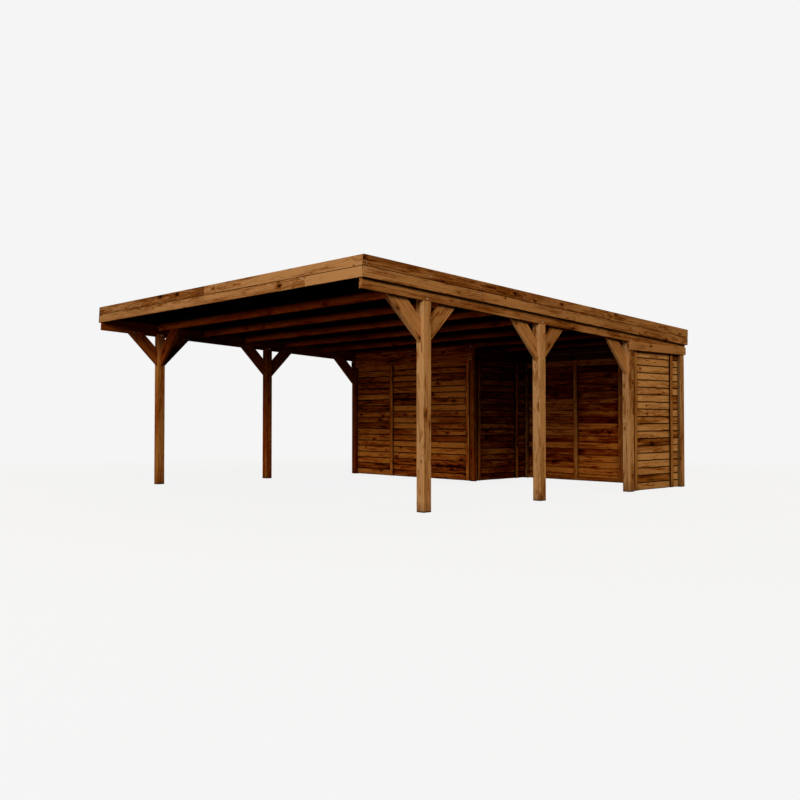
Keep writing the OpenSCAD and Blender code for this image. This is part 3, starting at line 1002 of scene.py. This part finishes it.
def lay_boards(wall, tone, painted_shade_fall, timber, inner):
    """Courses of boards that meet behind the battens, with painted shade darkening them towards the roof."""
    boards = Boards()
    outline = course_outline(wall.course)
    inside = [b for b in wall.battens if 2 * BATTEN_W < b < wall.length - 2 * BATTEN_W]
    ends = [0.0, *inside, wall.length]
    for first, last in zip(ends[:-1], ends[1:]):
        seams = [dice.uniform(0.0, WAVE_SEEDS) for _ in range(wall.courses + 1)]
        for number in range(wall.courses):
            middle = wall.place((first + last) / 2, (number + 0.5) * wall.course, BATTEN_T + BOARD_T / 2)
            stations = board_stations(wall, first, last)
            shade = board_tone(tone + painted_shade_fall * (0.5 - (number + 0.5) / wall.courses))
            boards.add(middle, wall.flat, last - first - 2 * END_GAP, outline, shade, stations,
                       seams[number:number + 2])
    boards.build(f"{wall.node}_boards", TIMBERS[timber], [wall.node], -wall.out,
                 TIMBERS.get(inner))


def fix_battens(wall, timber):
    """Upright battens over the boards' outer face."""
    battens = Boards()
    for run in wall.battens:
        battens.add(wall.place(run, wall.height / 2, BATTEN_T / 2), wall.upright, wall.height,
                    batten_outline(), near(*BATTEN_TONE))
    battens.build(f"{wall.node}_battens", TIMBERS[timber])


def frame_inside(wall):
    """Stiles behind the battens, and rails between them at the foot and the head."""
    inside = Boards()
    outline = slab(BATTEN_W, STILE_T)
    depth = BATTEN_T + BOARD_T + STILE_T / 2
    for run in wall.battens:
        inside.add(wall.place(run, wall.height / 2, depth), wall.upright, wall.height, outline,
                   near(*STILE_TONE))
    for first, last in lengths(0.0, wall.length, wall.battens, BATTEN_W / 2):
        for rise in (BATTEN_W / 2, wall.height - RAIL_MARGIN - BATTEN_W / 2):
            inside.add(wall.place((first + last) / 2, rise, depth), wall.flat,
                       last - first - 2 * END_GAP, outline, near(*STILE_TONE))
    inside.build(f"{wall.node}_stiles_and_rails", TIMBERS["shade_painted_post"])


def make_walls():
    """The six boarded walls of the store and the nook, and the nails in their battens."""
    nails = []
    for name, (run, out, battens, (board, trim, inner), tone, painted_shade_fall) in WALLS.items():
        wall = Wall(f"wall_{name}", run, out, *battens)
        lay_boards(wall, tone, painted_shade_fall, board, inner)
        fix_battens(wall, trim)
        frame_inside(wall)
        nails += [(wall.place(place + side * NAIL_SPREAD, (number + 0.5) * wall.course), out)
                  for place in wall.battens for number in range(wall.courses) for side in (-1, 1)]
    make_fixings("wall_nails", nails, NAIL_SHAPE, OLD_STEEL)


# Roof skin

DECK_TONE = (0.5, 0.2)


def make_roof_boards():
    """Roof boards laid along the slope, seen from below between the rafters."""
    low, high = roof_box("roof_boards")
    count = round((high.x - low.x) / DECK_BOARD_W)
    width = (high.x - low.x) / count
    outline = slab(width - END_GAP, high.z - low.z)
    boards = Boards()
    for i in range(count):
        middle = ROOF_TURN @ middle_of(low, high, x=low.x + (i + 0.5) * width)
        boards.add(middle, (ALONG_ROOF, ACROSS_ROOF, OFF_ROOF), high.y - low.y, outline, near(*DECK_TONE))
    boards.build("roof_boards_timber", TIMBERS["roof_board"], ["roof_boards"])


def make_felt_sheets():
    """Felt in lapped sheets, turned up behind the fascia on all sides."""
    low, high = roof_box("roof_felt")
    size = high - low
    sheets = Boards()
    count = math.ceil(size.x / (FELT_SHEET_W - FELT_LAP))
    step = size.x / count
    for i in range(count):
        upper = i % 2
        left = low.x + i * step - (FELT_LAP if i else 0.0)
        right = low.x + (i + 1) * step + (FELT_LAP if upper and i + 1 < count else 0.0)
        middle = middle_of(low, high, x=(left + right) / 2, z=low.z + FELT_T / 2 + FELT_T * upper)
        sheets.add(ROOF_TURN @ middle, (ALONG_ROOF, ACROSS_ROOF, OFF_ROOF), size.y,
                   slab(right - left, FELT_T, FELT_ARRIS))
    centre = middle_of(low, high)
    upturn = slab(size.z, FELT_T, FELT_ARRIS)
    for sign in (-1.0, 1.0):
        side = middle_of(low, high, x=centre.x + sign * (size.x - FELT_T) / 2)
        sheets.add(ROOF_TURN @ side, (ALONG_ROOF, OFF_ROOF, ACROSS_ROOF), size.y, upturn)
        end = middle_of(low, high, y=centre.y + sign * (size.y - FELT_T) / 2)
        sheets.add(ROOF_TURN @ end, (ACROSS_ROOF, OFF_ROOF, ALONG_ROOF), size.x, upturn)
    sheets.build("roof_felt_sheets", FELT, ["roof_felt"])


# Screws, bolts and nails

# Rings of a head: radius, height over the timber
SCREW_SHAPE = ((0.0, -0.0012), (0.0024, -0.0012), (0.0030, 0.0003), (0.0058, 0.0006), (0.0068, -0.0010))
BOLT_SHAPE = ((0.0, 0.0040), (0.0036, 0.0036), (0.0056, 0.0022), (0.0060, 0.0010), (0.0088, 0.0010),
              (0.0092, -0.0010))
NAIL_SHAPE = ((0.0, 0.0006), (0.0022, 0.0005), (0.0030, -0.0008))
HEAD_SIDES = 12
FASCIA_SCREW_RISES = (0.210, 0.277)
FRONT_SCREW_PLACES = (3.112, 2.205, 2.107, 1.114, 0.101, -0.126, -1.000, -1.896, -2.500, -3.112)
POST_BOLT_RISE = 0.025
LAP_SCREWS = 3
LAP_SCREW_INSET = 0.065
LAP_SCREW_STEP = 0.075
LAP_SCREW_RISE = 0.022
HEADER_SCREW_INSET = 0.010
STORE_FRONT_SCREWS = (-2.994, -2.267, -1.532, -1.466, -0.735, 0.002)
SIDE_HEADER_SCREWS = (0.083, 1.160, 1.560)
SIDE_HEADER_RISE = 0.067


def make_fixings(name, places, shape, material=ZINC):
    """Heads of screws, bolts or nails, all alike, joined in one mesh."""
    points, faces = [], []
    for place, out in places:
        side = out.orthogonal().normalized()
        other = out.cross(side)
        turn = dice.uniform(0.0, math.tau)
        first = len(points)
        points.append(place + out * shape[0][1])
        for radius, height in shape[1:]:
            for i in range(HEAD_SIDES):
                angle = turn + math.tau * i / HEAD_SIDES
                spoke = side * math.cos(angle) + other * math.sin(angle)
                points.append(place + spoke * radius + out * height)
        for i in range(HEAD_SIDES):
            j = (i + 1) % HEAD_SIDES
            faces.append((first, first + 1 + i, first + 1 + j))
            for ring in range(len(shape) - 2):
                a = first + 1 + ring * HEAD_SIDES
                b = a + HEAD_SIDES
                faces.append((a + i, b + i, b + j, a + j))
    mesh = bpy.data.meshes.new(name)
    mesh.from_pydata([tuple(p) for p in points], [], faces)
    mesh.polygons.foreach_set("use_smooth", [True] * len(faces))
    finish_piece(name, mesh, material, ())


def fascia_screws():
    """Screws through the fascia boards into the roof timbers, alike on facing sides."""
    inset = FASCIA_INSET / 2
    left, right = roof_box("fascia_left")[0].x + inset, roof_box("fascia_right")[1].x - inset
    front, back = roof_box("fascia_front")[0].y + inset, roof_box("fascia_back")[1].y - inset
    runs = [middle_of(*roof_box(name)).y for name in ROOF_TIMBERS]
    pairs = [((right, run, ACROSS_ROOF), (left, run, -ACROSS_ROOF)) for run in runs]
    pairs += [((x, front, -ALONG_ROOF), (-x, back, ALONG_ROOF)) for x in FRONT_SCREW_PLACES]
    return [(ROOF_TURN @ Vector((x, y, SEAT_LEVEL + rise)), out)
            for pair in pairs for rise in FASCIA_SCREW_RISES for x, y, out in pair]


def post_bolts():
    """One bolt through beam and tongue at each side post, seen from both sides."""
    places = []
    for side, sign in SIDES:
        outer = face_of(roof_box(f"beam_{side}"), 0, sign)
        for row in ROWS:
            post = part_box(f"post_{row}_{side}")
            y = middle_of(*post).y
            places.append((seat_point(outer, y, POST_BOLT_RISE), EAST * sign))
            places.append((seat_point(face_of(post, 0, -sign), y, POST_BOLT_RISE), EAST * -sign))
    return places


def brace_screws():
    """Three screws at the lap of each brace on the beam, from inside."""
    places = []
    for side, sign in SIDES:
        face = face_of(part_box(f"braces_middle_{side}"), 0, -sign)
        for name, row in BRACES:
            low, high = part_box(f"{name}_{side}")
            tips = [(low.y, 1)] if row == "store" else [(low.y, 1), (high.y, -1)]
            for tip, way in tips:
                for number in range(LAP_SCREWS):
                    y = tip + way * (LAP_SCREW_INSET + number * LAP_SCREW_STEP)
                    places.append((seat_point(face, y, LAP_SCREW_RISE), EAST * -sign))
    return places


def header_screws():
    """Screws through the header boards into the posts and battens."""
    low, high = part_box("header_store_front")
    places = [(Vector((x, low.y, z)), -NORTH) for x in STORE_FRONT_SCREWS
              for z in (low.z + HEADER_SCREW_INSET, high.z - HEADER_SCREW_INSET)]
    for side, sign in SIDES:
        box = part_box(f"header_{side}")
        face, low = face_of(box, 0, sign), box[0]
        places += [(Vector((face, low.y + run, low.z + SIDE_HEADER_RISE)), EAST * sign)
                   for run in SIDE_HEADER_SCREWS]
    return places


# Stage and light

BACKGROUND = 0.914
FLOOR_RADIUS = 70.0
FLOOR_SIDES = 64
FLOOR_DROP = 0.0006
SHADE_REACH = 6.0
SHADE_END = 14.0
SHADE_GLOW = 0.05
SHADE_ALBEDO = 0.08
FLOOR_BOUNCE = (0.03, 0.025, 0.02, 1.0)
SKY_COLOUR = (1.0, 0.85, 0.70, 1.0)
SKY_LEVEL = 0.004
STUDIO_MIDDLE = Vector((0.0, -1.0, 1.2))
ROOF_EDGE = Vector((0.0, 0.0, 2.0))
# Softboxes: place, aim, width and height, power in watts, colour
SOFTBOXES = {
    "key_softbox": ((8.6, -19.0, 7.6), STUDIO_MIDDLE, (7.0, 7.0), 1400.0, (1.0, 1.0, 1.0)),
    "horizon_softbox": ((0.0, -12.5, 1.75), ROOF_EDGE, (9.0, 1.3), 118.0, (1.0, 0.60, 0.40)),
}
# Far lights: bearing from the front towards the right, height, width, level, colour
FAR_LIGHTS = {
    "quarter_light": (33.0, 22.0, 16.0, 0.66, (1.0, 0.78, 0.46)),
    "right_light": (92.0, 35.0, 30.0, 0.93, (1.0, 0.70, 0.37)),
    "back_light": (215.0, 32.0, 60.0, 1.05, (1.0, 0.87, 0.68)),
}


def lit_or_shown(tree, lit, shown):
    """One shader for rays that light the object, and one for rays that show the background.

    The background shows to the camera, in gloss and through glass.
    """
    path = new_node(tree, "ShaderNodeLightPath").outputs
    seen = maths(tree, "ADD", path["Is Camera Ray"], path["Is Glossy Ray"], clamp=True)
    seen = maths(tree, "ADD", seen, path["Is Transmission Ray"], clamp=True)
    sources = {0: seen, 1: lit.outputs[0], 2: shown.outputs[0]}
    return new_node(tree, "ShaderNodeMixShader", sources).outputs[0]


def make_floor():
    """A pale floor that fades into the background and keeps a faint shadow."""
    material, tree, _ = new_material("studio_floor")
    tree.nodes.clear()
    close = ramp(tree, vectors(tree, "LENGTH", position(tree)), SHADE_END, SHADE_REACH)
    glow = new_node(tree, "ShaderNodeEmission", {
        "Color": WHITE, "Strength": maths(tree, "MULTIPLY_ADD", close, -SHADE_GLOW, BACKGROUND)})
    albedo = maths(tree, "MULTIPLY", close, SHADE_ALBEDO)
    grey = new_node(tree, "ShaderNodeCombineColor", {0: albedo, 1: albedo, 2: albedo})
    catch = new_node(tree, "ShaderNodeBsdfDiffuse", {"Color": grey.outputs[0]})
    shown = new_node(tree, "ShaderNodeAddShader", {0: glow.outputs[0], 1: catch.outputs[0]})
    bounce = new_node(tree, "ShaderNodeBsdfDiffuse", {"Color": FLOOR_BOUNCE})
    new_node(tree, "ShaderNodeOutputMaterial", {"Surface": lit_or_shown(tree, bounce, shown)})
    mesh = bpy.data.meshes.new("studio_floor")
    work = bmesh.new()
    bmesh.ops.create_circle(work, cap_ends=True, radius=FLOOR_RADIUS, segments=FLOOR_SIDES)
    work.to_mesh(mesh)
    work.free()
    mesh.materials.append(material)
    floor = new_object("studio_floor", mesh)
    floor.location.z = -FLOOR_DROP


def make_sky():
    """A dim warm sky, which shows as the pale background."""
    world = bpy.data.worlds.new("studio")
    bpy.context.scene.world = world
    world.use_nodes = True
    tree = world.node_tree
    tree.nodes.clear()
    sky = new_node(tree, "ShaderNodeBackground", {"Color": SKY_COLOUR, "Strength": SKY_LEVEL})
    shown = new_node(tree, "ShaderNodeBackground", {"Color": WHITE, "Strength": BACKGROUND})
    new_node(tree, "ShaderNodeOutputWorld", {"Surface": lit_or_shown(tree, sky, shown)})


def new_lamp(name, kind, power, colour):
    """Adds a lamp, and gives its object and its data."""
    lamp = bpy.data.lights.new(name, kind)
    lamp.energy = power
    lamp.color = colour
    return new_object(name, lamp), lamp


def make_lamps():
    """Softboxes at the front, and wide far lights from the front right, the right and the back."""
    for name, (place, target, size, power, colour) in SOFTBOXES.items():
        softbox, lamp = new_lamp(name, "AREA", power, colour)
        lamp.shape = "RECTANGLE"
        lamp.size, lamp.size_y = size
        softbox.location = place
        softbox.rotation_euler = (target - Vector(place)).to_track_quat("-Z", "Y").to_euler()
        softbox.visible_camera = False
    for name, (bearing, height, width, level, colour) in FAR_LIGHTS.items():
        light, lamp = new_lamp(name, "SUN", level, colour)
        lamp.angle = math.radians(width)
        light.rotation_euler = (math.radians(90.0 - height), 0.0, math.radians(bearing))
    bpy.context.scene.view_settings.view_transform = "Standard"


make_camera()
make_floor()
make_sky()
make_lamps()
make_posts()
make_beams()
make_rafters()
make_braces()
make_fascia()
make_headers()
make_walls()
make_roof_boards()
make_felt_sheets()
make_fixings("fascia_screws", fascia_screws(), SCREW_SHAPE)
make_fixings("post_bolts", post_bolts(), BOLT_SHAPE)
make_fixings("header_screws", header_screws(), SCREW_SHAPE)
make_fixings("brace_screws", brace_screws(), SCREW_SHAPE)
